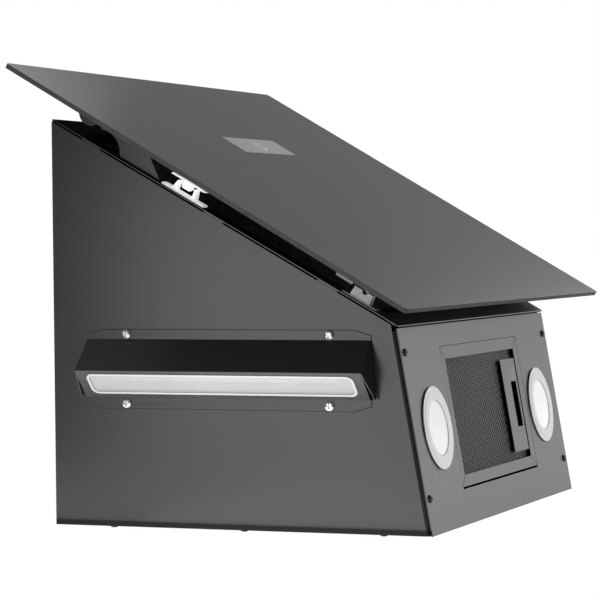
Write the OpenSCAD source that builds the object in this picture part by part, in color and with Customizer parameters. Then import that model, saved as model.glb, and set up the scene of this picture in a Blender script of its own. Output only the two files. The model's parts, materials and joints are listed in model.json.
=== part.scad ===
// Inclined wall hood, 600 mm class, modelled lying on its back.
// Origin: middle of the wall face.  +Z leads away from the wall, +X leads to the underside
// (down when the hood hangs), Y runs along its width.  Left means -Y, right means +Y.

/* [Casing] */
// Length of the wall face, from the duct end to the underside
body_len = 350; // [340:5:365]
// Depth of the casing at the duct end
body_depth = 355; // [345:5:370]
// Width of the casing
body_w = 434; // [430:2:460]
// Depth of the casing at the underside
low_depth = 174; // [170:1:180]
// How far the underside leans back towards the duct end
low_setback = 30; // [27:1:34]
// Sheet thickness of the casing
sheet = 1.2; // [1:0.1:1.4]
// Shadow gap under the front plate and the underside plate
cover_gap = 1.4; // [0.8:0.1:1.6]

/* [Glass front] */
// Width of the glass
glass_w = 595; // [560:5:640]
// Length of the glass along the slope
glass_len = 415; // [400:5:425]
// Thickness of the glass
glass_t = 4; // [3:0.5:5]
// How far the glass stands past the duct end of the slope
glass_past = 25; // [15:1:30]
// Height of the glass face above the slope at its duct end
glass_rise_top = 40; // [39:0.5:42]
// Height of the glass face above the slope at its low end
glass_rise_low = 34; // [33:0.5:36]
// Corner radius of the glass
glass_corner = 4; // [3:1:12]
// Height of the glass hinge pins above the slope
pivot_rise = 25; // [24.5:0.5:25.5]

/* [Underside] */
// Distance from each side to the middle of a lamp
lamp_inset = 59; // [56:1:62]
// Height of the lamps above the wall face, along the underside
lamp_up = 88; // [84:1:92]
// Radius of a lamp
lamp_r = 36; // [34:1:37]

/* [Light bars] */
// Length of a light bar
bar_len = 264; // [250:2:268]
// Distance that a light bar stands out from the side
bar_out = 27.5; // [26:0.5:29]
// Middle of a light bar along the casing
bar_x = -10; // [-14:1:-6]
// Middle of a light bar above the wall face
bar_z = 138; // [134:1:142]

/* [Duct and blower] */
// Outside radius of the duct collar
duct_r = 75; // [74.5:0.5:76]
// Length of the duct collar
duct_len = 45; // [42:1:50]
// Height of the duct's axis above the wall face
duct_z = 148; // [146:1:150]
// Radius of the impeller
wheel_r = 70; // [66:1:71]
// Number of impeller blades
blade_count = 36; // [24:4:40]

/* [Hidden] */
$fn = 64;
half_len = body_len / 2;
side_y = body_w / 2;
slope_run = body_len - low_setback;
slope_drop = body_depth - low_depth;
slope_len = norm([slope_run, slope_drop]);
slope_a = atan2(slope_drop, slope_run);
face_len = norm([low_setback, low_depth]);
face_a = atan2(low_setback, low_depth);
glass_tilt = atan2(glass_rise_top - glass_rise_low, glass_len);
face_inset = cover_gap + sheet;
lid_top = cover_gap + sheet;
touch = 0.02;
edge_gap = 0.1;
bend = 2.6;
bend_in = 2.1;

// Flanges and fasteners
flange = 14;
screw_r = 1.5;
screw_fit = 0.05;
face_screw_in = 9.2;
face_screw_v = [31.2, 155.7];
back_screw_x = [-122, 1.5, 129];
back_screw_in = 8;
wall_hole_r = 3.5;
wall_hole_x = 135;
wall_hole_y = 170;
washer_t = 0.8;

// Front plate and the filter behind the glass
lid_open_s = [22, 347.5];
lid_open_y = side_y - 20;
tab_s = [[33.4, 53.6], [165.7, 186.5], [285.4, 306.3]];
tray_deep = 14;
front_filter_t = 9;

// Underside filter, measured up the underside plate
open_y = 115.2;
open_v = [30.5, 157];
cas_y = [-open_y + 0.3, open_y - 0.8];
cas_v = [open_v[0] + 2, open_v[1] - 0.4];
cas_t = 9;
lip_t = 0.8;
lip_near = 9;
lip_far = 14;
lip_low = 10;
lip_high = 11;
latch_y = [53.2, 97];
latch_v = [49.6, 136.6];
bolt_v = [64, 122];
bolt_w = 12;
nose_gap = 0.3;
mitre_deep = 0.4;
mitre_w = 0.7;

// Hinge and catches, measured along the slope and above it
pivot_s = 29;
pin_r = 3;
pin_fit = 0.05;
lug_y = [side_y - 5.8, side_y - 3];
arm_y = [side_y - 8.8, side_y - 6.2];
carrier_y = side_y - 9.6;
carrier_w = 24;
channel_h = 9;
channel_t = 1.5;
catch_s = 140;
saddle_s = 325.5;
catch_y = [side_y - 13, side_y - 3];

// Blower
wheel_x = -5;
wheel_z = 115;
scroll_w = 110;
scroll_t = 1.2;
scroll_a0 = 190;
scroll_a1 = 450;
scroll_r0 = 76;
scroll_r1 = 104;
shaft_r = 4;
motor_r = 36;
inlet_r = 60;

// ---- Frames of reference and shared shapes ----

module on_slope() translate([-half_len, 0, body_depth]) rotate([0, slope_a, 0]) children();

module on_face() translate([half_len, 0, 0]) rotate([0, -face_a, 0]) children();

module on_glass() on_slope()
    translate([-glass_past, 0, glass_rise_top]) rotate([0, glass_tilt, 0]) children();

// Height of the glass face above the slope at the slope's length s
function rise(s) = glass_rise_top - tan(glass_tilt) * (s + glass_past);

// The slope's frame, turned to lie square under the glass at length s
module under_glass(s) on_glass() translate([s + glass_past, 0, -rise(s)]) children();

module slab(x, y, z) translate([x[0], y[0], z[0]]) cube([x[1] - x[0], y[1] - y[0], z[1] - z[0]]);

module mirrored() {
    children();
    mirror([0, 1, 0]) children();
}

module right_side() mirror([0, 1, 0]) children();

// A sheet or block drawn in the X-Z plane and filling y[0] to y[1]
module cut_sheet(y) translate([0, y[1], 0]) rotate([90, 0, 0]) linear_extrude(y[1] - y[0]) children();

module rounded(w, h, r) {
    square([w - 2 * r, h], center = true);
    square([w, h - 2 * r], center = true);
    for (x = [-1, 1], y = [-1, 1])
        translate([x * (w / 2 - r), y * (h / 2 - r)]) circle(r);
}

// A pan head with a cross recess, standing on z = 0, with its shank below
module pan_screw(head_r, head_h, shank) {
    difference() {
        union() {
            cylinder(r = head_r, h = head_h * 0.6);
            translate([0, 0, head_h * 0.6]) cylinder(r1 = head_r, r2 = head_r * 0.6, h = head_h * 0.4);
        }
        for (a = [0, 90])
            rotate(a) translate([-head_r * 0.6, -head_r * 0.13, head_h * 0.35])
                cube([head_r * 1.2, head_r * 0.26, head_h]);
    }
    translate([0, 0, -shank]) cylinder(r = screw_r, h = shank);
}

// Where the flat of a side panel ends and its bend begins, measured back from the underside
sheet_end = (face_inset + bend - 0.2) / cos(face_a);

// Upper corner of that line
function end_cut() =
    let (k = sheet_end, m = slope_drop / slope_run,
         t = (body_depth - m * (body_len - k)) / (low_depth - m * low_setback))
    [half_len - k - t * low_setback, t * low_depth];

// ---- Casing ----

module side_shell() {
    inner = [-side_y + sheet / 2, -side_y + flange];
    difference() {
        union() {
            cut_sheet([-side_y, -side_y + sheet])
                polygon([[-half_len, 0], [-half_len, body_depth], end_cut(), [half_len - sheet_end, 0]]);
            on_slope() slab([2.4, slope_len - 8], inner, [-sheet - edge_gap, -edge_gap]);
            on_face() translate([-face_inset, -side_y, 2.4]) linear_extrude(face_len - 4.4) bent_flange();
            slab([-half_len + 4, half_len - 9], inner, [sheet, 2 * sheet]);
            slab([-half_len + sheet, -half_len + 2 * sheet], inner, [5, body_depth - 8]);
        }
        bar_holes();
        on_face() face_screw_holes(screw_r + screw_fit);
        for (x = back_screw_x)
            translate([x, -side_y + back_screw_in, 0]) cylinder(r = screw_r + screw_fit, h = 5);
    }
}

// Bend and flange of a side panel, seen end-on
module bent_flange() polygon([[-bend - 1.5, 0.4], [-bend, 0.05], [0, bend_in], [0, flange], [-sheet, flange],
                              [-sheet, bend_in + 0.5], [-bend - 0.3, sheet - 0.05], [-bend - 1.5, 0.9]]);

module bar_holes() {
    bar_place() for (x = bar_screw_x, z = bar_screw_z)
        translate([x, -3, z]) rotate([-90, 0, 0]) cylinder(r = screw_r + screw_fit, h = 8);
    translate([bar_x + 60, -side_y - 3, bar_z]) rotate([-90, 0, 0]) cylinder(r = 5, h = 8);
}

module face_screw_holes(r) {
    for (v = face_screw_v)
        translate([-8, -side_y + face_screw_in, v]) rotate([0, 90, 0]) cylinder(r = r, h = 12);
}

module side_panel_left() color("#232427") side_shell();

module side_panel_right() color("#232427") right_side() side_shell();

module top_panel() color("#232427") difference() {
    slab([-half_len, -half_len + sheet], [-side_y + sheet, side_y - sheet], [sheet, body_depth + 3]);
    on_slope() slab([-8, 8], [-side_y, side_y], [cover_gap - edge_gap, 12]);
    translate([-half_len - 1, 0, duct_z]) rotate([0, 90, 0]) cylinder(r = duct_r - 1, h = 4);
    collar_screw_places() translate([0, 0, -3]) cylinder(r = screw_r + screw_fit, h = 6);
    translate([-half_len - 1, wall_hole_y, 60]) rotate([0, 90, 0]) cylinder(r = 8.05, h = 4);
}

module back_panel() color("#1e1f21") difference() {
    slab([-half_len, half_len - face_inset / cos(face_a)], [-side_y + sheet, side_y - sheet], [0, sheet]);
    for (x = [-wall_hole_x, wall_hole_x], y = [-wall_hole_y, wall_hole_y])
        translate([x, y, -1]) cylinder(r = wall_hole_r, h = 4);
    mirrored() for (x = back_screw_x)
        translate([x, -side_y + back_screw_in, -1]) cylinder(r = screw_r + screw_fit, h = 4);
}

module underside_panel() color("#232427") difference() {
    union() {
        on_face() slab([-sheet, 0], [-side_y, side_y], [0, face_len]);
        on_face() mirrored() for (v = face_screw_v)
            translate([-face_inset, -side_y + face_screw_in, v]) rotate([0, 90, 0])
                cylinder(r = 4, h = cover_gap + touch);
        on_slope() slab([slope_len - 14, slope_len - 0.8], [-side_y + flange + 1, side_y - flange - 1],
                        [-sheet, 0]);
        slab([half_len - 14, half_len - 1.4], [-side_y + flange + 1, side_y - flange - 1],
             [sheet, 2 * sheet]);
    }
    on_face() {
        slab([-5, 5], [-open_y, open_y], open_v);
        mirrored() {
            translate([-5, -side_y + lamp_inset, lamp_up]) rotate([0, 90, 0]) cylinder(r = lamp_r - 4, h = 10);
            face_screw_holes(screw_r + screw_fit);
        }
    }
}

module front_plate() color("#232427") on_slope() difference() {
    union() {
        slab([0, slope_len], [-side_y, side_y], [cover_gap, lid_top]);
        mirrored() for (s = tab_s)
            slab(s, [-side_y, -side_y + 6], [0, cover_gap + touch]);
        mirrored()
            slab([slope_len - 13, slope_len - 3], [-side_y + 3, -side_y + 10], [0, cover_gap + touch]);
    }
    slab(lid_open_s, [-lid_open_y, lid_open_y], [-1, 4]);
}

// ---- Filter behind the glass ----

module filter_tray() color("#1b1c1e") on_slope() difference() {
    slab([lid_open_s[0] - 2, lid_open_s[1] + 2], [-lid_open_y - 2, lid_open_y + 2], [-tray_deep, cover_gap]);
    slab(lid_open_s, [-lid_open_y, lid_open_y], [-tray_deep + sheet, 4]);
    slab([lid_open_s[0] + 10, lid_open_s[1] - 10], [-lid_open_y + 10, lid_open_y - 10],
         [-tray_deep - 1, 4]);
}

// A filter cassette: walls, a lip on each face, open in the middle
module cassette(s, y, n, border) difference() {
    slab(s, y, n);
    slab([s[0] + 1, s[1] - 1], [y[0] + 1, y[1] - 1], [n[0] + lip_t, n[1] - lip_t]);
    slab([s[0] + border, s[1] - border], [y[0] + border, y[1] - border], [n[0] - 1, n[1] + 1]);
}

module front_filter_frame() color("#85878a") on_slope() {
    low = -tray_deep + sheet;
    cassette([lid_open_s[0] + 1, lid_open_s[1] - 1], [-lid_open_y + 1, lid_open_y - 1],
             [low, low + front_filter_t], 14);
}

// A corrugated mesh pad: a wavy ribbon of the given thickness
module wavy_pad(l, w, t, pitch, wave) {
    n = floor(l / pitch);
    top = [for (i = [0:n]) [i * pitch, t + (i % 2) * wave]];
    low = [for (i = [n:-1:0]) [i * pitch, (i % 2) * wave]];
    translate([0, w / 2, 0]) rotate([90, 0, 0]) linear_extrude(w) polygon(concat(top, low));
}

module front_filter_mesh() color("#9a9c9f") on_slope()
    translate([lid_open_s[0] + 4, 0, -tray_deep + sheet + lip_t])
        wavy_pad(lid_open_s[1] - lid_open_s[0] - 8, 2 * lid_open_y - 10, 4, 6, 1.6);

module front_filter_grip() color("#85878a") on_slope()
    translate([lid_open_s[1] - 9, 0, -tray_deep + sheet + front_filter_t]) {
        slab([-4, 5], [-30, 30], [0, 1]);
        slab([-4, -3], [-30, 30], [1, 5]);
        slab([-10, -3], [-30, 30], [4, 5]);
    }

// ---- Glass front ----

module glass_panel() color("#101113") on_glass() difference() {
    translate([glass_len / 2, 0, -glass_t]) linear_extrude(glass_t) rounded(glass_len, glass_w, glass_corner);
    slab([114.7, 143.4], [-62, 62], [-0.4, 1]);
}

module touch_strip() color("#3b3d42") on_glass() slab([114.8, 143.3], [-61.9, 61.9], [-0.4, 0]);

module control_box() color("#18191b") on_glass() difference() {
    slab([104, 154], [-76, 76], [-glass_t - 13, -glass_t]);
    slab([106, 152], [-74, 74], [-glass_t - 11.5, -glass_t - 1.5]);
}

// A folded channel frame under the glass, with a lug at each end of the hinge line
module glass_carrier() color("#2a2b2e") {
    s0 = 38;
    s1 = 386;
    inner = carrier_y - carrier_w;
    on_glass() difference() {
        slab([s0, s1], [-carrier_y, carrier_y], [-glass_t - channel_h, -glass_t]);
        slab([s0 + carrier_w, s1 - carrier_w], [-inner, inner], [-30, 0]);
        difference() {
            slab([s0 + channel_t, s1 - channel_t], [-carrier_y + channel_t, carrier_y - channel_t],
                 [-30, -glass_t - channel_t]);
            slab([s0 + carrier_w - channel_t, s1 - carrier_w + channel_t],
                 [-inner - channel_t, inner + channel_t], [-40, 0]);
        }
    }
    on_glass() for (s = [78, 172, 260])
        slab([s, s + 18], [-inner - touch, inner + touch], [-glass_t - channel_t, -glass_t]);
    on_glass() mirrored()
        slab([42, 96], [-lug_y[1], -carrier_y + touch], [-glass_t - 1.2, -glass_t]);
    on_slope() mirrored() difference() {
        lug_plate() {
            translate([pivot_s, pivot_rise]) circle(12);
            translate([pivot_s, pivot_rise - 4]) square([34, 10]);
        }
        translate([pivot_s, -side_y, pivot_rise]) rotate([-90, 0, 0]) cylinder(r = pin_r + pin_fit, h = 12);
        slab([0, 80], [-side_y, -side_y + 12], [rise(pivot_s + 20) - glass_t - 0.4, 60]);
    }
}

module lug_plate() cut_sheet([-lug_y[1], -lug_y[0]]) children();

// The fixed arm: an arch from the pin down to the front plate, with a screwed foot
module hinge_arm() on_slope() {
    difference() {
        cut_sheet([-arm_y[1], -arm_y[0]]) {
            translate([pivot_s, pivot_rise]) circle(7);
            polygon(concat([[pivot_s, pivot_rise + 5.5], [pivot_s, pivot_rise - 7], [42, pivot_rise - 7]],
                           [for (a = [112:-8:24]) [51 + 20.4 * cos(a), -3.5 + 20.4 * sin(a)]],
                           [[71.4, lid_top], [115, lid_top], [78, 30.2], [50, 30.6]]));
        }
        translate([pivot_s, -side_y, pivot_rise]) rotate([-90, 0, 0]) cylinder(r = pin_r, h = 12);
    }
    slab([74, 112], [-arm_y[0], -arm_y[0] + 9], [lid_top, lid_top + 1.5]);
    for (s = [84, 102])
        translate([s, -arm_y[0] + 5, lid_top + 1.5]) cylinder(r = 2.6, h = 1.2);
}

module hinge_arm_left() color("#2a2b2e") hinge_arm();

module hinge_arm_right() color("#2a2b2e") right_side() hinge_arm();

module hinge_pins() color("#b9bcc0") on_slope() mirrored()
    translate([pivot_s, -side_y + 2, pivot_rise]) rotate([-90, 0, 0]) {
        cylinder(r = pin_r, h = 7.1);
        translate([0, 0, -0.2]) cylinder(r = pin_r + 1.5, h = 0.9);
    }

// Spring catch: base strip with two leaning arms that grip the keeper's tongue
module catch_bodies() color("#dfe1e3") on_slope() mirrored() translate([catch_s, 0, 0]) {
    slab([-22, 22], [-catch_y[1], -catch_y[0]], [lid_top, lid_top + 1.8]);
    cut_sheet([-catch_y[1] + 1, -catch_y[0] - 1]) for (m = [0, 1]) mirror([m, 0])
        polygon([[8, lid_top + 1], [12.4, lid_top + 1], [9.8, 12.6], [9, 13], [7.4, 12.4], [8.4, 9]]);
}

module catch_keepers() color("#d3d5d8") mirrored() under_glass(catch_s) {
    slab([-17.5, 17.5], [-catch_y[1] + 0.5, -catch_y[0]], [14.6, 15.6]);
    cut_sheet([-catch_y[1] + 1.5, -catch_y[0] - 1.5])
        polygon([[-4.1, 14.8], [-4.6, 10.5], [-3.4, 8.4], [3.4, 8.4], [4.6, 10.5], [4.1, 14.8]]);
    slab([-12, 12], [-carrier_y, -catch_y[0]], [15.4, rise(catch_s) - glass_t - channel_h]);
}

// Low catches: a block with a hollow, and the peg that drops into it
module saddle_blocks() color("#a9abad") on_slope() mirrored() translate([saddle_s, 0, 0]) {
    slab([-17, 17], [-catch_y[1], -catch_y[0]], [lid_top, lid_top + 1.2]);
    cut_sheet([-catch_y[1] + 1, -catch_y[0] - 1]) difference() {
        polygon([[-10, lid_top + 1], [10, lid_top + 1], [9, 12.4], [-9, 12.4]]);
        translate([1.5, 12.4]) circle(2.8);
    }
}

module saddle_pegs() color("#c9cbce") mirrored() under_glass(saddle_s) {
    translate([1.5, -catch_y[1] + 5, 12.7]) rotate([-90, 0, 0])
        cylinder(r = 2.2, h = catch_y[1] - catch_y[0] - 6);
    slab([-12, 12], [-catch_y[1] + 1, -catch_y[0]], [13.7, 14.9]);
    slab([-28.5, -11.5], [-catch_y[1] + 0.5, -catch_y[1] + 3.5], [11.6, 14.9]);
    slab([-6, 10], [-carrier_y, -catch_y[0]], [14.7, rise(saddle_s) - glass_t - channel_h]);
}

// ---- Underside grease filter ----

module grease_filter_frame() color("#232427") on_face() difference() {
    window_y = [cas_y[0] + lip_near, cas_y[1] - lip_far];
    window_v = [cas_v[0] + lip_low, cas_v[1] - lip_high];
    slab([-cas_t, 0], cas_y, cas_v);
    slab([-cas_t + lip_t, -lip_t], [cas_y[0] + 1, cas_y[1] - 1], [cas_v[0] + 1, cas_v[1] - 1]);
    slab([-lip_t - 1, 1], window_y, window_v);
    slab([-cas_t - 1, -cas_t + lip_t + 1], [cas_y[0] + 9, cas_y[1] - 9], [cas_v[0] + 9, cas_v[1] - 9]);
    for (v = bolt_v)
        slab([-2.6, -lip_t], [cas_y[1] - 2, cas_y[1] + 1], [v - bolt_w / 2 - 0.4, v + bolt_w / 2 + 0.4]);
    for (i = [0, 1], k = [0, 1])
        mitre([cas_y[i], cas_v[k]], [window_y[i], window_v[k]]);
}

// A shallow groove in the face, from one (y, v) point to another
module mitre(from, to) {
    run = to - from;
    translate([-mitre_deep, from[0], from[1]]) rotate([atan2(run[1], run[0]), 0, 0])
        slab([0, 2], [0.5, norm(run) - 0.5], [-mitre_w / 2, mitre_w / 2]);
}

module grease_filter_mesh() color("#5d5f63") on_face()
    translate([-cas_t + lip_t, (cas_y[0] + cas_y[1]) / 2, cas_v[0] + 2]) rotate([0, -90, 0]) mirror([0, 0, 1])
        wavy_pad(cas_v[1] - cas_v[0] - 4, cas_y[1] - cas_y[0] - 4, 3.9, 5, 1.4);

module filter_latch() color("#4a4c4f") on_face() {
    difference() {
        slab([-1, 0], latch_y, latch_v);
        slab([-2, 1], [76, 92], [72, 115]);
    }
    slab([-2.3, -1], [73.5, 75.5], [72, 115]);
    for (v = bolt_v)
        slab([-2.3, -1], [60, open_y - nose_gap], [v - bolt_w / 2, v + bolt_w / 2]);
}

// ---- Underside lamps ----

ring_t = 0.7;
lamp_rim_t = 0.8;
lens_low = ring_t - 0.6;
lens_t = 1;
lens_r = lamp_r * 0.67;

module lamp_place() on_face() translate([0, -side_y + lamp_inset, lamp_up]) rotate([0, 90, 0]) children();

module lamp_body() lamp_place() difference() {
    union() {
        translate([0, 0, ring_t]) cylinder(r = lamp_r, h = lamp_rim_t);
        translate([0, 0, -20]) cylinder(r = lamp_r - 4.6, h = 21 + ring_t);
    }
    translate([0, 0, lens_low]) cylinder(r = lens_r, h = 5);
    translate([0, 0, -17]) cylinder(r = lens_r - 2, h = 30);
}

module lamp_lens() lamp_place() translate([0, 0, lens_low]) cylinder(r = lens_r - 0.1, h = lens_t);

// Seals under the lamps' rims and washers under the underside screws
module rubber_rings() color("#101113") {
    mirrored() lamp_place() difference() {
        cylinder(r = lamp_r + 0.4, h = ring_t);
        translate([0, 0, -1]) cylinder(r = lamp_r - 4.5, h = ring_t + 2);
    }
    on_face() mirrored() for (v = face_screw_v)
        translate([0, -side_y + face_screw_in, v]) rotate([0, 90, 0]) difference() {
            cylinder(r = 3.5, h = washer_t);
            translate([0, 0, -1]) cylinder(r = screw_r + screw_fit, h = washer_t + 2);
        }
}

module lamp_body_left() color("#d9dbdd") lamp_body();

module lamp_body_right() color("#d9dbdd") right_side() lamp_body();

module lamp_lens_left() color("#f6f7f8") lamp_lens();

module lamp_lens_right() color("#f6f7f8") right_side() lamp_lens();

module lamp_clips() color("#b9bcc0") mirrored() lamp_place() for (a = [0, 180]) rotate(a) {
    slab([lamp_r - 4.6, lamp_r - 4], [-5, 5], [-18, -sheet]);
    slab([lamp_r - 4.2, lamp_r + 4], [-5, 5], [-sheet - 0.6, -sheet]);
}

// ---- Side light bars ----

module bar_place() translate([bar_x, -side_y, bar_z]) children();

// The lens face runs from the ridge back to the side; z points out of it, y down it
ridge_z = -0.5;
foot_d = 4;
foot_z = -24.5;
bar_screw_x = [-94.4, 94.4];
bar_screw_z = [-29.8, 30.3];
lens_run = norm([bar_out - foot_d, ridge_z - foot_z]);
lens_a = atan2(ridge_z - foot_z, bar_out - foot_d);
module on_lens() bar_place() translate([0, -bar_out, ridge_z]) rotate([180 - lens_a, 0, 0])
    rotate([0, 0, 180]) children();

module bar_cover() {
    half = bar_len / 2;
    fold = [26, 34.2, 34.3];
    difference() {
        union() {
            bar_place() rotate([90, 0, 90]) translate([0, 0, -half]) linear_extrude(bar_len)
                mirror([1, 0]) polygon([[0, fold[1]], [1, fold[1]], [1, fold[0]], [bar_out, ridge_z],
                    [foot_d, foot_z], [1, foot_z], [1, -fold[2]], [0, -fold[2]], [0, foot_z + 1],
                    [foot_d - 0.4, foot_z + 1], [bar_out - 1.4, ridge_z], [0, fold[0] - 0.5]]);
            for (m = [0, 1]) bar_place() mirror([m, 0, 0]) end_tab(half);
        }
        bar_place() for (m = [0, 1], k = [0, 1]) mirror([m, 0, 0]) mirror([0, 0, k])
            rotate([90, 0, 0]) translate([0, 0, -1]) linear_extrude(3)
                polygon([[half - 16, fold[2] + 0.1], [half, fold[2] - 4.5], [half + 9, fold[2] - 4.5],
                         [half + 9, fold[2] + 9], [half - 16, fold[2] + 9]]);
        on_lens() translate([0, lens_run / 2 - 0.4, -4]) linear_extrude(8) rounded(246, 23.8, 6);
        bar_place() for (x = bar_screw_x, z = bar_screw_z)
            translate([x, 3, z]) rotate([90, 0, 0]) cylinder(r = screw_r + screw_fit, h = 8);
    }
}

// End tab, bent from the sloping upper face and sprung slightly open at its tip
module end_tab(half) {
    flare = 8.5;
    translate([half, -bar_out, ridge_z]) rotate(a = -flare, v = [0, bar_out - 1, 26 - ridge_z])
        translate([-1, bar_out, -ridge_z]) rotate([90, 0, 90]) linear_extrude(1)
            mirror([1, 0]) polygon([[1.4, 25.2], [bar_out - 0.6, ridge_z], [foot_d + 0.5, foot_z], [1.4, foot_z + 2]]);
}

module bar_frame() on_lens() translate([0, lens_run / 2 - 0.4, 0]) difference() {
    union() {
        translate([0, 0, -9]) linear_extrude(9.2) rounded(245.6, 23.4, 5.8);
        linear_extrude(0.5) rounded(246.8, 24.6, 6.4);
    }
    translate([0, 0, -8]) linear_extrude(20) rounded(242.8, 20.6, 4.6);
}

module bar_lens() on_lens() translate([0, lens_run / 2 - 0.4, -1.4]) linear_extrude(1.2)
    rounded(242.6, 20.4, 4.5);

module bar_leds() on_lens() translate([0, lens_run / 2 - 0.4, -8]) {
    slab([-116, 116], [-4, 4], [0, 1]);
    for (i = [-11:11]) slab([i * 10 - 1.4, i * 10 + 1.4], [-1.4, 1.4], [1, 1.7]);
}

module bar_screws() bar_place() for (x = bar_screw_x, z = bar_screw_z)
    translate([x, -1, z]) rotate([90, 0, 0]) pan_screw(4.1, 2.4, 4);

module light_bar_cover_left() color("#232427") bar_cover();
module light_bar_cover_right() color("#232427") right_side() bar_cover();
module light_bar_frame_left() color("#e4e5e6") bar_frame();
module light_bar_frame_right() color("#e4e5e6") right_side() bar_frame();
module light_bar_leds_left() color("#f0f0e8") bar_leds();
module light_bar_leds_right() color("#f0f0e8") right_side() bar_leds();
module light_bar_lens_left() color("#eef1f4") bar_lens();
module light_bar_lens_right() color("#eef1f4") right_side() bar_lens();
module light_bar_screws_left() color("#c9ccd0") bar_screws();
module light_bar_screws_right() color("#c9ccd0") right_side() bar_screws();

// ---- Duct collar and flaps; z runs out along the duct ----

flap_h = 24;
flap_t = 1;
flap_rest = 20.4;
flap_tip_r = 72.4;

module duct_place() translate([-half_len, 0, duct_z]) rotate([0, -90, 0]) children();

module collar_screw_places() duct_place() for (a = [45:90:315]) rotate(a) translate([duct_r + 7, 0, 1.5]) children();

module duct_collar() color("#26272a") difference() {
    duct_place() difference() {
        union() {
            cylinder(r = duct_r, h = duct_len);
            cylinder(r = duct_r + 13, h = 1.5);
        }
        translate([0, 0, -1]) cylinder(r = duct_r - 4.5, h = duct_len + 2);
        translate([0, 0, flap_rest - 0.3]) cylinder(r = duct_r - 1.2, h = duct_len);
        translate([0, 0, -1]) cylinder(r = duct_r - 1.2, h = flap_rest - 0.8);
        rotate([90, 0, 0]) translate([0, flap_h, -duct_r - 1]) cylinder(r = screw_r + 0.02, h = 2 * duct_r + 2);
    }
    collar_screw_places() translate([0, 0, -3]) cylinder(r = screw_r + screw_fit, h = 6);
}

module collar_screws() color("#b9bcc0") collar_screw_places() pan_screw(3, 1.6, 5);

// Half a disc that hangs from its own barrel on the shared pin; side is +1 or -1
module flap(side) duct_place() difference() {
    union() {
        intersection() {
            translate([0, 0, flap_rest]) cylinder(r = flap_tip_r, h = flap_t);
            slab(side > 0 ? [3.6, 80] : [-80, -3.6], [-80, 80], [0, 40]);
        }
        intersection() {
            translate([0, 0, flap_rest]) cylinder(r = flap_tip_r, h = flap_t + 0.4);
            slab(side > 0 ? [0.4, 5] : [-5, -0.4], side > 0 ? [-60, -22] : [22, 60], [0, 40]);
        }
        translate([0, side > 0 ? -60 : 22, flap_h]) rotate([-90, 0, 0]) cylinder(r = 3, h = 38);
    }
    translate([0, -80, flap_h]) rotate([-90, 0, 0]) cylinder(r = screw_r + 0.06, h = 160);
}

module damper_flap_front() color("#3a3b3e") flap(1);

module damper_flap_back() color("#3a3b3e") flap(-1);

module damper_pin() color("#b9bcc0") duct_place() translate([0, -duct_r + 0.3, flap_h])
    rotate([-90, 0, 0]) cylinder(r = screw_r, h = 2 * duct_r - 0.6);

// ---- Blower ----

function scroll_r(a) = scroll_r0 + (scroll_r1 - scroll_r0) * (a - scroll_a0) / (scroll_a1 - scroll_a0);

function scroll_point(a, out) =
    [wheel_x + (scroll_r(a) + out) * cos(a), wheel_z + (scroll_r(a) + out) * sin(a)];

// Outlet wall, tongue, spiral and top wall, drawn a distance out from the inner face
function scroll_path(out) =
    let (mouth = -half_len + sheet, tongue = scroll_point(scroll_a0, 0))
    concat([[mouth, 77 - out], tongue - [out, out]],
           [for (a = [scroll_a0 + 6.5:6.5:scroll_a1]) scroll_point(a, out)],
           [[mouth, wheel_z + scroll_r1 + out]]);

function reversed(list) = [for (i = [len(list) - 1:-1:0]) list[i]];

module scroll_band() color("#8f9194") cut_sheet([-scroll_w / 2, scroll_w / 2])
    polygon(concat(scroll_path(0), reversed(scroll_path(scroll_t))));

module wheel_place() translate([wheel_x, 0, wheel_z]) rotate([90, 0, 0]) children();

module scroll_cheek() difference() {
    cut_sheet([-scroll_w / 2 - sheet, -scroll_w / 2]) polygon(scroll_path(scroll_t));
    wheel_place() cylinder(r = inlet_r, h = 200, center = true);
}

module inlet_ring() wheel_place() translate([0, 0, scroll_w / 2 + sheet]) difference() {
    cylinder(r = inlet_r + 6, h = 3);
    translate([0, 0, -1]) cylinder(r = inlet_r, h = 6);
}

module scroll_cheek_left() color("#8f9194") {
    scroll_cheek();
    inlet_ring();
}

module scroll_cheek_right() color("#8f9194") right_side() scroll_cheek();

module impeller() color("#2c2d30") wheel_place() difference() {
    union() {
        translate([0, 0, -1]) cylinder(r = wheel_r - 0.5, h = 2);
        for (m = [0, 1]) mirror([0, 0, m]) translate([0, 0, 44]) difference() {
            cylinder(r = wheel_r, h = 1.5);
            translate([0, 0, -1]) cylinder(r = wheel_r - 11, h = 5);
        }
        for (i = [0:blade_count - 1]) rotate(i * 360 / blade_count)
            translate([wheel_r - 6, 0, -44.5]) rotate(35) slab([-5, 5], [-0.45, 0.45], [0, 89]);
        cylinder(r = 10, h = 9);
    }
    translate([0, 0, -5]) cylinder(r = shaft_r + 0.02, h = 20);
}

// The shaft carries the impeller and runs in the motor's bearing
module motor_shaft() color("#b9bcc0") wheel_place() translate([0, 0, -32]) cylinder(r = shaft_r, h = 42);

module motor() color("#6f7174") wheel_place() difference() {
    union() {
        translate([0, 0, -scroll_w / 2 - sheet]) cylinder(r = motor_r, h = scroll_w / 2 + sheet - 9);
        translate([0, 0, -9]) cylinder(r = 12, h = 4);
    }
    translate([0, 0, -33]) cylinder(r = shaft_r + 0.05, h = 40);
}

module motor_bracket() color("#9ea0a3") wheel_place() translate([0, 0, -scroll_w / 2 - sheet - 2]) {
    cylinder(r = motor_r - 4, h = 2);
    for (i = [0:2]) rotate(90 + i * 120) slab([0, inlet_r + 7], [-6, 6], [0, 2]);
    difference() {
        cylinder(r = inlet_r + 8, h = 2);
        translate([0, 0, -1]) cylinder(r = inlet_r - 1, h = 4);
    }
}

// ---- Electrics and remaining fasteners ----

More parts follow.
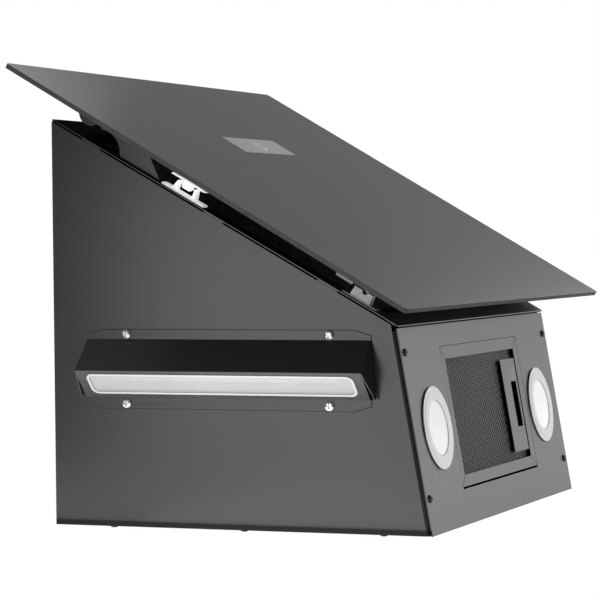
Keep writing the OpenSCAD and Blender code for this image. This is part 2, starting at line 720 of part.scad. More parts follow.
module driver_box() color("#e2e3e4") difference() {
    slab([-120, 0], [88, 148], [sheet, 37]);
    slab([-118, -2], [90, 146], [sheet + 1.5, 35.5]);
}

module cable_gland() color("#1a1b1c") translate([-half_len, wall_hole_y, 60]) rotate([0, -90, 0]) difference() {
    union() {
        translate([0, 0, -7]) cylinder(r = 8, h = 24);
        cylinder(r = 11, h = 6, $fn = 6);
        translate([0, 0, -6]) cylinder(r = 11, h = 6 - sheet, $fn = 6);
    }
    translate([0, 0, -8]) cylinder(r = 4, h = 30);
}

module underside_screws() color("#101113") on_face() mirrored() for (v = face_screw_v)
    translate([washer_t, -side_y + face_screw_in, v]) rotate([0, 90, 0]) pan_screw(3, 1.2, 6);

module wall_side_screws() color("#101113") mirrored() for (x = back_screw_x)
    translate([x, -side_y + back_screw_in, 0]) rotate([180, 0, 0]) pan_screw(3.4, 1.8, 5);

side_panel_left();
side_panel_right();
top_panel();
back_panel();
underside_panel();
front_plate();
filter_tray();
front_filter_frame();
front_filter_mesh();
front_filter_grip();
glass_panel();
glass_carrier();
touch_strip();
control_box();
hinge_arm_left();
hinge_arm_right();
hinge_pins();
catch_bodies();
catch_keepers();
saddle_blocks();
saddle_pegs();
grease_filter_frame();
grease_filter_mesh();
filter_latch();
lamp_body_left();
lamp_body_right();
lamp_lens_left();
lamp_lens_right();
lamp_clips();
rubber_rings();
light_bar_cover_left();
light_bar_cover_right();
light_bar_frame_left();
light_bar_frame_right();
light_bar_leds_left();
light_bar_leds_right();
light_bar_lens_left();
light_bar_lens_right();
light_bar_screws_left();
light_bar_screws_right();
duct_collar();
collar_screws();
damper_flap_front();
damper_flap_back();
damper_pin();
scroll_band();
scroll_cheek_left();
scroll_cheek_right();
impeller();
motor_shaft();
motor();
motor_bracket();
driver_box();
cable_gland();
underside_screws();
wall_side_screws();
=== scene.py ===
"""Looks of the inclined cooker hood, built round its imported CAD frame."""

import json
import math

import bmesh
import bpy
from mathutils import Matrix, Vector


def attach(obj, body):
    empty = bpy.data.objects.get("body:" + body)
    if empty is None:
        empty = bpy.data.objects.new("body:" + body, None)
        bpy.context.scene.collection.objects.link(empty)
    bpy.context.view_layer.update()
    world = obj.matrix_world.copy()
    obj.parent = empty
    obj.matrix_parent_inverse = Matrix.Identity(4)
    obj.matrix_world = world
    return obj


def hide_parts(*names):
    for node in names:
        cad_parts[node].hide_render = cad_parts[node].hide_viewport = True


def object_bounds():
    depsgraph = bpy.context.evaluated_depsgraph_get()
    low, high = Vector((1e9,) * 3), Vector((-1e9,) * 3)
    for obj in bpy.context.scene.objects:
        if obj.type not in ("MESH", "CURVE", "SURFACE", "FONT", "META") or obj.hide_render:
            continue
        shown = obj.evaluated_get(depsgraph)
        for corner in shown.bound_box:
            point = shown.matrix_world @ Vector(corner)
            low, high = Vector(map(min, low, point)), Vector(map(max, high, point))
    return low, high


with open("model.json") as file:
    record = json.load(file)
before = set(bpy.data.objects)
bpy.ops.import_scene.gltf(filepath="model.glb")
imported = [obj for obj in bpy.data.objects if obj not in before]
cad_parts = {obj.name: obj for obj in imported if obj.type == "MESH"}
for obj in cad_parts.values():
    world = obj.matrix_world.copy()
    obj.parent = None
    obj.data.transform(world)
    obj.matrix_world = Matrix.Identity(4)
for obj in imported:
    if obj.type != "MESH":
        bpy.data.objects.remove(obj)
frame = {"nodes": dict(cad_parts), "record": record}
cad_low, cad_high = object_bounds()
nodes = frame["nodes"]

MM = 0.001

# ---- Driving sizes, the same as in part.scad ----
HALF_LEN = 175 * MM
BODY_DEPTH = 355 * MM
LOW_DEPTH = 174 * MM
LOW_SETBACK = 30 * MM
SIDE_Y = 217 * MM
SLOPE_RUN = 2 * HALF_LEN - LOW_SETBACK
SLOPE_DROP = BODY_DEPTH - LOW_DEPTH
SLOPE_A = math.atan2(SLOPE_DROP, SLOPE_RUN)
FACE_A = math.atan2(LOW_SETBACK, LOW_DEPTH)
GLASS_LEN = 415 * MM
GLASS_PAST = 25 * MM
GLASS_RISE = 40 * MM
GLASS_FALL = 6 * MM
GLASS_TILT = math.atan2(GLASS_FALL, GLASS_LEN)

# Local frames. On the slope and on the glass, X runs down it, Y across it and Z out of it. On the
# underside face, X points out of it and Z runs up it.
ON_SLOPE = Matrix.Translation((-HALF_LEN, 0, BODY_DEPTH)) @ Matrix.Rotation(SLOPE_A, 4, "Y")
ON_FACE = Matrix.Translation((HALF_LEN, 0, 0)) @ Matrix.Rotation(-FACE_A, 4, "Y")
ON_GLASS = (ON_SLOPE @ Matrix.Translation((-GLASS_PAST, 0, GLASS_RISE))
            @ Matrix.Rotation(GLASS_TILT, 4, "Y"))
SIDES = ((-1, "left"), (1, "right"))  # the sign of Y on each side


# ---- Materials ----
def tree_of(name):
    """A new material, with its node tree, its main shader and its object coordinates."""
    mat = bpy.data.materials.new(name)
    mat.use_nodes = True
    tree = mat.node_tree
    shader = next(n for n in tree.nodes if n.type == "BSDF_PRINCIPLED")
    coords = tree.nodes.new("ShaderNodeTexCoord")
    return mat, tree, shader, coords.outputs["Object"]


def noise(tree, coords, scale, detail=2.0, stretch=None):
    """A noise value from 0 to 1; stretch scales it apart along each axis."""
    if stretch:
        mapping = tree.nodes.new("ShaderNodeMapping")
        mapping.inputs["Scale"].default_value = stretch
        tree.links.new(coords, mapping.inputs["Vector"])
        coords = mapping.outputs["Vector"]
    tex = tree.nodes.new("ShaderNodeTexNoise")
    tex.inputs["Scale"].default_value = scale
    tex.inputs["Detail"].default_value = detail
    tree.links.new(coords, tex.inputs["Vector"])
    return tex.outputs["Fac"]


def ramp(tree, fac, dark, light, low=0.3, high=0.7):
    """A colour that goes from dark at low to light at high."""
    node = tree.nodes.new("ShaderNodeValToRGB")
    node.color_ramp.elements[0].position = low
    node.color_ramp.elements[1].position = high
    node.color_ramp.elements[0].color = (*dark, 1)
    node.color_ramp.elements[1].color = (*light, 1)
    tree.links.new(fac, node.inputs["Fac"])
    return node.outputs["Color"]


def map_range(tree, value, span, low, high):
    """The node that turns value's span (start, end) into low to high."""
    node = tree.nodes.new("ShaderNodeMapRange")
    node.inputs["From Min"].default_value, node.inputs["From Max"].default_value = span
    node.inputs["To Min"].default_value = low
    node.inputs["To Max"].default_value = high
    tree.links.new(value, node.inputs["Value"])
    return node


def bump(tree, shader, height, strength, depth):
    node = tree.nodes.new("ShaderNodeBump")
    node.inputs["Strength"].default_value = strength
    node.inputs["Distance"].default_value = depth
    tree.links.new(height, node.inputs["Height"])
    tree.links.new(node.outputs["Normal"], shader.inputs["Normal"])


def finish_of(name, dark, light, rough, metal=0.0, grain=900.0, relief=0.1, depth=0.05 * MM,
              cloud=12.0, stretch=None, specular=0.5, drift=0.1, **sockets):
    """A surface with a fine grain, and colour and gloss that drift slowly across it."""
    mat, tree, shader, coords = tree_of(name)
    fine = noise(tree, coords, grain, 3.0, stretch)
    slow = noise(tree, coords, cloud, 2.0)
    tree.links.new(ramp(tree, fine, dark, light), shader.inputs["Base Color"])
    gloss = map_range(tree, slow, (0.0, 1.0), rough * (1 - drift), rough * (1 + drift))
    tree.links.new(gloss.outputs["Result"], shader.inputs["Roughness"])
    shader.inputs["Metallic"].default_value = metal
    shader.inputs["Specular IOR Level"].default_value = specular
    for socket, value in sockets.items():
        shader.inputs[socket.replace("_", " ")].default_value = value
    if relief:
        bump(tree, shader, fine, relief, depth)
    return mat


def grey(level, tint=(1.0, 1.0, 1.0)):
    return tuple(level * t for t in tint)


WHITE = (1, 1, 1, 1)
COOL = (0.97, 1.0, 1.05)
# Each finish is its darkest and lightest colour, its roughness and, where given, how metallic it is
MATS = {
    "black_paint": finish_of("powder_coat", grey(0.0145, COOL), grey(0.0175, COOL), 0.27,
                             grain=1500.0, relief=0.06, drift=0.03),
    "black_glass": finish_of("black_glass", grey(0.006), grey(0.008), 0.17, grain=60.0, relief=0.0,
                             drift=0.04),
    "strip_glass": finish_of("touch_glass", grey(0.57), grey(0.60), 0.3, 0.6, grain=80.0,
                             relief=0.0, drift=0.04),
    "galvanised": finish_of("galvanised_sheet", grey(0.17), grey(0.24), 0.42, 0.8, grain=160.0,
                            relief=0.05),
    "zinc": finish_of("zinc_plate", grey(0.44), grey(0.54), 0.28, 1.0, grain=700.0, relief=0.05),
    "filter_metal": finish_of("filter_strand", grey(0.010), grey(0.024), 0.42, 0.3, grain=500.0,
                              relief=0.08),
    "latch_plastic": finish_of("latch_plastic", grey(0.016, COOL), grey(0.021, COOL), 0.30,
                               grain=1800.0, relief=0.08, drift=0.04),
    "black_plastic": finish_of("black_plastic", grey(0.016), grey(0.022), 0.45, grain=1600.0,
                               relief=0.2),
    "white_plastic": finish_of("white_plastic", grey(0.74), grey(0.80), 0.32, relief=0.04),
    "lamp_metal": finish_of("lamp_metal", grey(0.56), grey(0.62, COOL), 0.40, 0.35, grain=1200.0,
                            relief=0.05),
    "lens": finish_of("frosted_lens", grey(0.94), grey(0.97, COOL), 0.25, relief=0.05,
                      Emission_Color=WHITE, Emission_Strength=0.14),
    "led": finish_of("led", (0.80, 0.76, 0.60), (0.86, 0.82, 0.66), 0.4, relief=0.05),
    "motor_metal": finish_of("motor_enamel", grey(0.22), grey(0.27), 0.4, 0.5, grain=600.0),
}
BAR_LENS = finish_of("bar_lens", grey(0.48), grey(0.52), 0.14, grain=300.0, relief=0.03, Alpha=0.45)
BAR_TRIM = finish_of("bar_trim", grey(0.46), grey(0.52), 0.32, relief=0.03)
# Painted light: the strands behind the glass are made much lighter than the underside filter's, standing
# in for light the glass keeps from them
FRONT_MESH_PAINTED_LIGHT = finish_of("front_strand_painted_light", grey(0.13), grey(0.19), 0.6)
# Painted shade: a near-black for sheets put where there is only shadow, in hollows and gaps
PAINTED_SHADE_BLACK = finish_of("painted_shade_black", grey(0.0015), grey(0.003), 0.95, specular=0.0)
DARK_CATCH = finish_of("catch_steel", grey(0.10), grey(0.15), 0.4, 0.6, relief=0.04)
# Painted light: the white catches glow though they are no lamp, so they stay bright under the glass's
# shade
CATCH_WHITE_PAINTED_GLOW = finish_of("catch_nylon_painted_glow", grey(0.80), grey(0.86), 0.3, relief=0.04,
                        Emission_Color=WHITE, Emission_Strength=0.38)
# A black darker than the paint; as the sheet behind the underside mesh it is painted shade
DEEP_BLACK = finish_of("deep_black", grey(0.006), grey(0.012), 0.7, specular=0.1)
# Painted light: the printed symbol glows though it is no lamp
SYMBOL_INK_PAINTED_GLOW = finish_of("symbol_ink_painted_glow", grey(0.70), grey(0.80), 0.5, relief=0.02,
                       Emission_Color=WHITE, Emission_Strength=0.35)

# ---- Materials whose faces turned one way differ from their others ----
TURNED = (0.80, 0.97)  # how far a face is turned that way, from not at all to wholly
DULL_ROUGH = 0.9
DULL_LEVEL = 0.02


def two_faced(name, facing_way, grain, top, edge, rise=None):
    """Top is the look of the faces turned facing_way, and edge is that of all others.

    The way is fixed in the room, so a top that a joint turns away takes on the look of an edge.
    top and edge are each (darkest grey, lightest grey, roughness, specular level). With rise, a pair
    of x places, the top turns from dull at the first to its own roughness and level at the second."""
    mat, tree, shader, coords = tree_of(name)
    fine = noise(tree, coords, grain, 3.0)
    normal = tree.nodes.new("ShaderNodeNewGeometry")
    facing = tree.nodes.new("ShaderNodeVectorMath")
    facing.operation = "DOT_PRODUCT"
    facing.inputs[1].default_value = facing_way
    tree.links.new(normal.outputs["Normal"], facing.inputs[0])

    def blend(low, high):
        return map_range(tree, facing.outputs["Value"], TURNED, low, high)

    for socket, i, dull in (("Roughness", 2, DULL_ROUGH), ("Specular IOR Level", 3, DULL_LEVEL)):
        level = blend(edge[i], top[i])
        tree.links.new(level.outputs["Result"], shader.inputs[socket])
        if rise:
            place = tree.nodes.new("ShaderNodeSeparateXYZ")
            tree.links.new(coords, place.inputs["Vector"])
            climb = map_range(tree, place.outputs["X"], rise, dull, top[i])
            tree.links.new(climb.outputs["Result"], level.inputs["To Max"])
    mix = tree.nodes.new("ShaderNodeMix")
    mix.data_type = "RGBA"
    tree.links.new(blend(0.0, 1.0).outputs["Result"], mix.inputs["Factor"])
    tree.links.new(ramp(tree, fine, grey(edge[0]), grey(edge[1])), mix.inputs["A"])
    tree.links.new(ramp(tree, fine, grey(top[0]), grey(top[1])), mix.inputs["B"])
    tree.links.new(mix.outputs["Result"], shader.inputs["Base Color"])
    return mat


# Painted shade: the plate's reflection is damped toward its high end, under the glass, to darken it
# there
PLATE_RISE = (0.06, 0.17)  # the x places between which the plate's shine comes up, in metres
SLOPE_UP = (math.sin(SLOPE_A), 0, math.cos(SLOPE_A))
GLASS_UP = (math.sin(SLOPE_A + GLASS_TILT), 0, math.cos(SLOPE_A + GLASS_TILT))
PLATE_PAINT = two_faced("plate_under_glass_painted_shade", SLOPE_UP, 1500.0, (0.010, 0.015, 0.36, 1.0),
                        (0.012, 0.018, 0.27, 0.5), rise=PLATE_RISE)
EDGED_GLASS = two_faced("edged_glass", GLASS_UP, 60.0, (0.006, 0.008, 0.17, 0.5),
                        (0.060, 0.080, 0.6, 0.03))

# ---- What each CAD node wears: its slot's finish, or one of its own ----
slot_of = {s["node"]: s["material_slot"] for s in frame["record"]["subparts"]}
OWN_FINISH = {
    "light_bar_lens_left": BAR_LENS, "light_bar_lens_right": BAR_LENS,
    "light_bar_frame_left": BAR_TRIM, "light_bar_frame_right": BAR_TRIM,
    "front_plate": PLATE_PAINT, "glass_panel": EDGED_GLASS,
    "catch_bodies": CATCH_WHITE_PAINTED_GLOW, "catch_keepers": CATCH_WHITE_PAINTED_GLOW, "saddle_pegs": DARK_CATCH,
    "filter_tray": DEEP_BLACK, "front_filter_frame": DEEP_BLACK, "front_filter_grip": DEEP_BLACK,
}
for node, obj in nodes.items():
    obj.data.materials.clear()
    obj.data.materials.append(OWN_FINISH.get(node, MATS[slot_of[node]]))

# ---- Softened edges on the CAD's own sheets ----
WELD_WITHIN = 1e-6
SHARP = math.radians(35)
SHEET_EDGE = 0.3 * MM
LATCH_EDGE = 0.25 * MM
GLASS_EDGE = 1.0 * MM


def soften(node, width, segments=2):
    obj = nodes[node]
    weld = obj.modifiers.new("weld", "WELD")
    weld.merge_threshold = WELD_WITHIN
    bevel = obj.modifiers.new("edge", "BEVEL")
    bevel.width = width
    bevel.segments = segments
    bevel.limit_method = "ANGLE"
    bevel.angle_limit = SHARP
    bevel.harden_normals = True


SHEETS = ["side_panel_left", "side_panel_right", "underside_panel", "front_plate", "top_panel",
          "light_bar_cover_left", "light_bar_cover_right", "grease_filter_frame"]
for node in SHEETS:
    soften(node, SHEET_EDGE)
soften("filter_latch", LATCH_EDGE)
soften("glass_panel", GLASS_EDGE, segments=4)


# ---- Mesh helpers ----
def piece(name, verts, faces, mat, place, body, replaced=(), smooth=False):
    """One new mesh, moved by place into the object's frame, that rides on a body."""
    mesh = bpy.data.meshes.new(name)
    mesh.from_pydata([place @ Vector(v) for v in verts], [], faces)
    mesh.materials.append(mat)
    mesh.validate()
    bm = bmesh.new()
    bm.from_mesh(mesh)
    bmesh.ops.recalc_face_normals(bm, faces=bm.faces)
    bm.to_mesh(mesh)
    bm.free()
    for poly in mesh.polygons:
        poly.use_smooth = smooth
    obj = bpy.data.objects.new(name, mesh)
    bpy.context.scene.collection.objects.link(obj)
    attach(obj, body)
    if replaced:
        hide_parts(*replaced)
    return obj


STRAND = 0.9 * MM
STRAND_THICK = 0.45 * MM


def bar_between(verts, faces, a, b, width, thick):
    """A flat strand from a to b: width lies in the plane of the mesh, thick across it."""
    a, b = Vector(a), Vector(b)
    along = (b - a).normalized()
    up = Vector((1, 0, 0))
    across = along.cross(up).normalized() * width / 2
    lift = along.cross(across).normalized() * thick / 2
    base = len(verts)
    for end in (a, b):
        for s, t in ((-1, -1), (1, -1), (1, 1), (-1, 1)):
            verts.append(tuple(end + across * s + lift * t))
    for i in range(4):
        j = (i + 1) % 4
        faces.append((base + i, base + j, base + 4 + j, base + 4 + i))


def expanded_layer(verts, faces, y, v, x, pitch_y, pitch_v, wave):
    """Diamond mesh of slit and stretched sheet, with strands that rise and fall."""
    ny = int((y[1] - y[0]) / pitch_y * 2)
    nv = int((v[1] - v[0]) / pitch_v * 2)

    def knot(i, j):
        lift = wave * math.cos(math.pi * j / 2)
        return (x + lift, y[0] + i * pitch_y / 2, v[0] + j * pitch_v / 2)

    for j in range(nv):
        for i in range(ny + 1):
            if (i + j) % 2:
                continue
            for di in (-1, 1):
                if 0 <= i + di <= ny:
                    bar_between(verts, faces, knot(i, j), knot(i + di, j + 1), STRAND, STRAND_THICK)


def backing(verts, faces, y, v, x, thick):
    """A flat slab that reaches from x inwards."""
    base = len(verts)
    for xx in (x, x - thick):
        verts += [(xx, y[0], v[0]), (xx, y[1], v[0]), (xx, y[1], v[1]), (xx, y[0], v[1])]
    faces += [(base, base + 1, base + 2, base + 3), (base + 7, base + 6, base + 5, base + 4)]
    faces += [(base + i, base + 4 + i, base + 4 + (i + 1) % 4, base + (i + 1) % 4) for i in range(4)]


# ---- Underside filter: one layer of expanded mesh over a near-black sheet, painted shade for the filter's depth ----
MESH_Y = (-112 * MM, 112 * MM)
MESH_V = (34 * MM, 154 * MM)
WEAVE_X = -3.4 * MM
WEAVE_PITCH = (7.4 * MM, 4.0 * MM)
WEAVE_WAVE = 0.3 * MM
SHADE_SHEET_X = -6.4 * MM
SHADE_SHEET_THICK = 0.7 * MM
POCKET_Y = (61 * MM, 112 * MM)
POCKET_V = (58 * MM, 128 * MM)
POCKET_X = -2.45 * MM
POCKET_THICK = 0.15 * MM

verts, faces = [], []
expanded_layer(verts, faces, MESH_Y, MESH_V, WEAVE_X, *WEAVE_PITCH, WEAVE_WAVE)
piece("filter_weave", verts, faces, MATS["filter_metal"], ON_FACE, "grease_filter",
      ["grease_filter_mesh"])
verts, faces = [], []
backing(verts, faces, MESH_Y, MESH_V, SHADE_SHEET_X, SHADE_SHEET_THICK)
piece("filter_shade_sheet", verts, faces, DEEP_BLACK, ON_FACE, "grease_filter")
# A near-black sheet behind the latch's finger hole: painted shade of the hollow there
verts, faces = [], []
backing(verts, faces, POCKET_Y, POCKET_V, POCKET_X, POCKET_THICK)
piece("latch_pocket_painted_shade", verts, faces, PAINTED_SHADE_BLACK, ON_FACE, "grease_filter")

# ---- Filter behind the glass: a coarser mesh on its own pad, both lightened with painted light ----
FRONT_Y = (-192 * MM, 192 * MM)
FRONT_S = (26 * MM, 343 * MM)
FRONT_LOW = -11.6 * MM
FRONT_WEAVE = FRONT_LOW + 3.4 * MM
FRONT_PAD = FRONT_LOW + 1.0 * MM
FRONT_PAD_THICK = 0.8 * MM
FRONT_PITCH = (11 * MM, 6.4 * MM)
FRONT_WAVE = 0.4 * MM
# X and Z change places, because a mesh is made across X
SWAP_XZ = Matrix(((0, 0, 1, 0), (0, 1, 0, 0), (1, 0, 0, 0), (0, 0, 0, 1)))

verts, faces = [], []
expanded_layer(verts, faces, FRONT_Y, FRONT_S, FRONT_WEAVE, *FRONT_PITCH, FRONT_WAVE)
backing(verts, faces, FRONT_Y, FRONT_S, FRONT_PAD, FRONT_PAD_THICK)
piece("front_filter_weave", verts, faces, FRONT_MESH_PAINTED_LIGHT, ON_SLOPE @ SWAP_XZ, "casing",
      ["front_filter_mesh"])


# ---- Lathe-turned lenses of the underside lamps ----
ON_AXIS = 1e-6


def lathe(name, profile, mat, place, body, replaced=(), steps=96):
    """Turns (radius, height) points about local Z."""
    verts, faces = [], []
    rings = []
    for r, h in profile:
        if r < ON_AXIS:
            rings.append([len(verts)])
            verts.append((0, 0, h))
        else:
            rings.append(list(range(len(verts), len(verts) + steps)))
            turns = [2 * math.pi * i / steps for i in range(steps)]
            verts += [(r * math.cos(a), r * math.sin(a), h) for a in turns]
    for a, b in zip(rings, rings[1:]):
        for i in range(steps):
            j = (i + 1) % steps
            if len(a) == 1:
                faces.append((a[0], b[i], b[j]))
            elif len(b) == 1:
                faces.append((a[i], a[j], b[0]))
            else:
                faces.append((a[i], a[j], b[j], b[i]))
    return piece(name, verts, faces, mat, place, body, replaced, smooth=True)


LAMP_INSET = 59 * MM
LAMP_Y = SIDE_Y - LAMP_INSET
LAMP_V = 88 * MM
LAMP_R = 36 * MM
LENS_SHARE = 0.67  # of the lamp's radius
LENS_FIT = 0.1 * MM
LENS_R = LAMP_R * LENS_SHARE - LENS_FIT
LENS_LOW, LENS_TOP = 0.1 * MM, 1.1 * MM
RIM_IN, RIM_DOWN = 0.5 * MM, 0.4 * MM
GROOVES = 22
GROOVES_IN = 1.2 * MM
GROOVE_WIDE, GROOVE_DEEP = 0.4 * MM, 0.08 * MM
CENTRE_DEEP = 0.05 * MM

profile = [(0, LENS_LOW), (LENS_R, LENS_LOW), (LENS_R, LENS_TOP - RIM_DOWN), (LENS_R - RIM_IN, LENS_TOP)]
for k in range(GROOVES, 0, -1):
    r = (LENS_R - GROOVES_IN) * k / GROOVES
    profile += [(r, LENS_TOP - GROOVE_DEEP), (r - GROOVE_WIDE, LENS_TOP)]
profile.append((0, LENS_TOP - CENTRE_DEEP))
for sign, side in SIDES:
    place = (ON_FACE @ Matrix.Translation((0, sign * LAMP_Y, LAMP_V))
             @ Matrix.Rotation(math.pi / 2, 4, "Y"))
    lathe("lamp_disc_" + side, profile, MATS["lens"], place, "casing", ["lamp_lens_" + side])

# ---- Faceted reflectors inside the light bars, behind their sloping lenses ----
BAR_X = -10 * MM
BAR_Z = 138 * MM
BAR_OUT = 27.5 * MM
RIDGE_Z = -0.5 * MM
FOOT_D = 4 * MM
FOOT_Z = -24.5 * MM
LENS_RUN = math.hypot(BAR_OUT - FOOT_D, RIDGE_Z - FOOT_Z)
LENS_A = math.atan2(RIDGE_Z - FOOT_Z, BAR_OUT - FOOT_D)
LENS_INSET = 0.4 * MM
TO_LENS = (Matrix.Translation((BAR_X, -SIDE_Y - BAR_OUT, BAR_Z + RIDGE_Z))
           @ Matrix.Rotation(math.pi - LENS_A, 4, "X") @ Matrix.Rotation(math.pi, 4, "Z")
           @ Matrix.Translation((0, LENS_RUN / 2 - LENS_INSET, 0)))
MOUTH_HALF, MOUTH_Z = (120 * MM, 9 * MM), -1.5 * MM
THROAT_HALF, THROAT_Z = (104 * MM, 5 * MM), -6.9 * MM
REFLECTOR_SHEET = 0.3 * MM


def ring_of(half, z):
    """The four corners of a rectangle, from its half sizes."""
    x, y = half
    return [(-x, -y, z), (x, -y, z), (x, y, z), (-x, y, z)]


def bridge(a, b):
    """The four faces between two rings of four points, by their first points."""
    return [(a + i, a + (i + 1) % 4, b + (i + 1) % 4, b + i) for i in range(4)]


for sign, side in SIDES:
    place = Matrix.Diagonal((1, -sign, 1, 1)) @ TO_LENS
    verts = [v for down in (0, REFLECTOR_SHEET) for v in
             ring_of(MOUTH_HALF, MOUTH_Z - down) + ring_of(THROAT_HALF, THROAT_Z - down)]
    faces = bridge(0, 4) + bridge(8, 12) + bridge(0, 8) + bridge(4, 12)
    piece("bar_reflector_" + side, verts, faces, MATS["lamp_metal"], place, "casing")

# ---- Painted shadow: a near-black strip in the gap between each light bar's flanges and the side panel ----
FLANGE_HALF = 132 * MM
FLANGE_ROOT = 27.5 * MM
FLANGE_V = 34.3 * MM
FLANGE_CUT = (16 * MM, 4.5 * MM)  # each cut corner, along and across the flange
SHADOW_GROWS = (0.4 * MM, 0.35 * MM)
SHADOW_OUT = 0.12 * MM

CUT_X, CUT_V = FLANGE_HALF - FLANGE_CUT[0], FLANGE_V - FLANGE_CUT[1]
FLANGE = [(-FLANGE_HALF, FLANGE_ROOT), (-FLANGE_HALF, CUT_V), (-CUT_X, FLANGE_V),
          (CUT_X, FLANGE_V), (FLANGE_HALF, CUT_V), (FLANGE_HALF, FLANGE_ROOT)]
GROWN = [(x + math.copysign(SHADOW_GROWS[0], x), z + (SHADOW_GROWS[1] if z != FLANGE_ROOT else 0))
         for x, z in FLANGE]
for sign, side in SIDES:
    place = Matrix.Diagonal((1, -sign, 1, 1)) @ Matrix.Translation((BAR_X, -SIDE_Y, BAR_Z))
    verts, faces = [], []
    for up in (-1, 1):
        base = len(verts)
        verts += [(x, -SHADOW_OUT, up * z) for pair in zip(FLANGE, GROWN) for x, z in pair]
        faces += [(base + 2 * i, base + 2 * i + 1, base + 2 * i + 3, base + 2 * i + 2)
                  for i in range(len(FLANGE) - 1)]
    piece("bar_flange_painted_shadow_" + side, verts, faces, PAINTED_SHADE_BLACK, place, "casing")

# ---- Painted shade: near-black bars in the gap under the low corners of the plate behind the glass ----
SLOPE_LEN = math.hypot(SLOPE_RUN, SLOPE_DROP)
# Each patch of painted shade is two bars: (from the low edge, in from the side, out of the slope), in mm
SHADE_FILL_BARS = [((0.9, 3.0), (0.4, 14.0), (0.05, 1.35)), ((3.0, 4.0), (2.2, 14.0), (-3.0, 1.35))]
BOX_FACES = ((0, 1, 3, 2), (4, 6, 7, 5), (0, 4, 5, 1), (2, 3, 7, 6), (0, 2, 6, 4), (1, 5, 7, 3))
for sign, side in SIDES:
    verts, faces = [], []
    for back, inward, out in SHADE_FILL_BARS:
        base = len(verts)
        verts += [(SLOPE_LEN - s * MM, sign * (SIDE_Y - y * MM), n * MM)
                  for s in back for y in inward for n in out]
        faces += [tuple(base + i for i in quad) for quad in BOX_FACES]
    piece("corner_painted_shade_" + side, verts, faces, PAINTED_SHADE_BLACK, ON_SLOPE, "casing")

# ---- Symbol on the touch strip: an open ring and a bar ----
ICON_X = 129 * MM
RING_IN, RING_OUT = 7.2 * MM, 8.2 * MM
RING_FROM, RING_TO = math.radians(215), math.radians(505)
RING_STEPS = 48
STROKE = [(-10 * MM, -0.5 * MM), (-3 * MM, -0.5 * MM), (-3 * MM, 0.5 * MM), (-10 * MM, 0.5 * MM)]
INK_Z = 0.02 * MM

turns = [RING_FROM + (RING_TO - RING_FROM) * i / RING_STEPS for i in range(RING_STEPS + 1)]
verts = [(ICON_X + r * math.cos(a), r * math.sin(a), INK_Z) for a in turns for r in (RING_IN, RING_OUT)]
faces = [(2 * i, 2 * i + 1, 2 * i + 3, 2 * i + 2) for i in range(RING_STEPS)]
base = len(verts)
verts += [(ICON_X + x, y, INK_Z) for x, y in STROKE]
faces.append((base, base + 1, base + 2, base + 3))
piece("touch_symbol", verts, faces, SYMBOL_INK_PAINTED_GLOW, ON_GLASS, "glass_front")


# ---- Studio ----
def stage_mesh(name, size, z, mat):
    """A flat square of the studio, which is no part of the object."""
    bm = bmesh.new()
    bmesh.ops.create_grid(bm, x_segments=8, y_segments=8, size=size)
    mesh = bpy.data.meshes.new(name)
    bm.to_mesh(mesh)
    bm.free()
    mesh.materials.append(mat)
    obj = bpy.data.objects.new(name, mesh)
    obj.location = (0, 0, z)
    bpy.context.scene.collection.objects.link(obj)
    return obj


def camera_split(tree, seen, unseen):
    """One shader for the camera, another for every other ray."""
    mix = tree.nodes.new("ShaderNodeMixShader")
    path = tree.nodes.new("ShaderNodeLightPath")
    tree.links.new(path.outputs["Is Camera Ray"], mix.inputs["Fac"])
    tree.links.new(unseen, mix.inputs[1])
    tree.links.new(seen, mix.inputs[2])
    return mix.outputs[0]


# The floor shows white to the camera. What it gives to the object fades across the side panel's plane
FLOOR_HALF = 40
FLOOR_BELOW = 0.1 * MM
FLOOR_WHITE = 1.0
FLOOR_SIDE = 0.10
FLOOR_BACK = 1.05
FADE = (-SIDE_Y - 0.05, -SIDE_Y + 0.05)
mat, tree, shader, coords = tree_of("floor_white")
tree.links.new(ramp(tree, noise(tree, coords, 3.0), grey(0.04), grey(0.05)), shader.inputs["Base Color"])
shader.inputs["Roughness"].default_value = 0.9
shader.inputs["Specular IOR Level"].default_value = 0.0
shader.inputs["Emission Color"].default_value = WHITE
shader.inputs["Emission Strength"].default_value = FLOOR_WHITE
glow = tree.nodes.new("ShaderNodeEmission")
apart = tree.nodes.new("ShaderNodeSeparateXYZ")
tree.links.new(coords, apart.inputs[0])
fade = map_range(tree, apart.outputs["Y"], FADE, FLOOR_SIDE, FLOOR_BACK)
tree.links.new(fade.outputs["Result"], glow.inputs["Strength"])
floor_out = next(n for n in tree.nodes if n.type == "OUTPUT_MATERIAL")
tree.links.new(camera_split(tree, shader.outputs[0], glow.outputs[0]), floor_out.inputs["Surface"])
stage_mesh("floor", FLOOR_HALF, cad_low.z - FLOOR_BELOW, mat)

ROOM_LIGHT = 0.29
ROOM_TINT = (0.97, 0.985, 1.0, 1)
world = bpy.data.worlds.new("studio")
bpy.context.scene.world = world
world.use_nodes = True
wt = world.node_tree
wt.nodes.clear()
out = wt.nodes.new("ShaderNodeOutputWorld")
seen = wt.nodes.new("ShaderNodeBackground")
room = wt.nodes.new("ShaderNodeBackground")
seen.inputs["Color"].default_value = WHITE
seen.inputs["Strength"].default_value = 1.0
room.inputs["Color"].default_value = ROOM_TINT
room.inputs["Strength"].default_value = ROOM_LIGHT
wt.links.new(camera_split(wt, seen.outputs[0], room.outputs[0]), out.inputs["Surface"])

# ---- Softboxes, in metres ----
SIDE_AT = (-0.235, -SIDE_Y, 0.19)
BODY_AT = (0.1, 0, 0.2)
BOUNCE_Y, BOUNCE_Z, BOUNCE_DEEP = -0.58, 0.004, 0.71
BEHIND_Y, BEHIND_HIGH = 2.0, 0.8


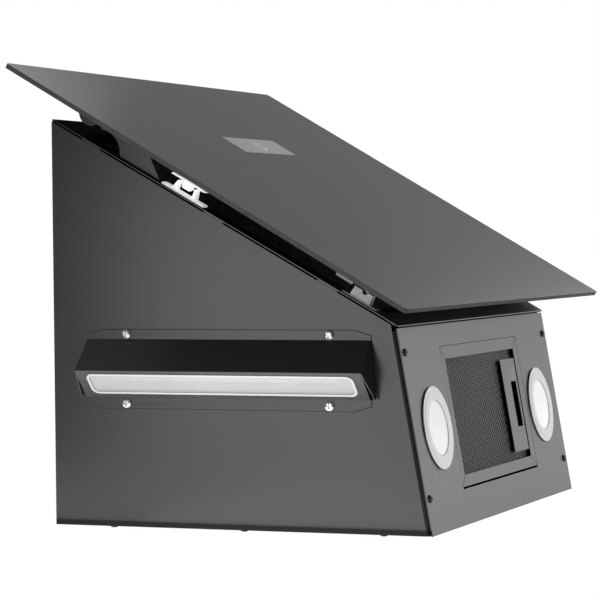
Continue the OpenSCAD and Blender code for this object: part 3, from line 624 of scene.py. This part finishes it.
def softbox(name, place, target, size, radiance):
    """A rectangular light, whose power follows from the radiance it shows."""
    light = bpy.data.lights.new(name, "AREA")
    light.shape = "RECTANGLE"
    light.size, light.size_y = size
    light.energy = radiance * math.pi * size[0] * size[1]
    obj = bpy.data.objects.new(name, light)
    obj.location = place
    obj.rotation_mode = "QUATERNION"
    obj.rotation_quaternion = (Vector(target) - Vector(place)).to_track_quat("-Z", "Y")
    obj.visible_camera = False
    bpy.context.scene.collection.objects.link(obj)
    return obj


def bounce(name, x, width, radiance):
    """A softbox just above the floor, beside the left panel, that faces up."""
    softbox(name, (x, BOUNCE_Y, BOUNCE_Z), (x, BOUNCE_Y, 1), (width, BOUNCE_DEEP), radiance)


def behind(name, x, z, width, radiance):
    """A softbox behind the hood that faces it."""
    softbox(name, (x, BEHIND_Y, z), BODY_AT, (width, BEHIND_HIGH), radiance)


softbox("side_near", (-0.235, -0.95, 0.19), SIDE_AT, (0.43, 0.36), 2.9)
bounce("bounce_left", -0.25, 0.30, 1.8)
bounce("bounce_right", 0.07, 0.34, 2.6)
behind("back_high_left", -1.0, 1.8, 0.8, 0.75)
behind("back_high", 0.4, 1.8, 0.8, 1.5)
behind("back_middle", 0.5, 1.0, 0.8, 7.5)
behind("back_low", 0.7, 0.4, 0.9, 0.62)
behind("back_low_right", 1.7, 0.4, 0.9, 3.4)

# ---- Camera, at the photograph's angle ----
CAM_AT = Vector((0.8721, -2.3048, 0.2532))
CAM_RIGHT = Vector((0.93172, 0.36304, -0.01000))
CAM_UP = Vector((0.00036, 0.02661, 0.99965))
CAM_BACK = Vector((0.36318, -0.93139, 0.02466))
SENSOR_WIDTH = 36
LENS_LENGTH = 158.4
cam_data = bpy.data.cameras.new("camera")
cam_data.sensor_width = SENSOR_WIDTH
cam_data.lens = LENS_LENGTH
cam = bpy.data.objects.new("camera", cam_data)
facing = Matrix((CAM_RIGHT, CAM_UP, CAM_BACK)).transposed().to_4x4()
cam.matrix_world = Matrix.Translation(CAM_AT) @ facing
bpy.context.scene.collection.objects.link(cam)
bpy.context.scene.camera = cam
bpy.context.scene.view_settings.view_transform = "Standard"
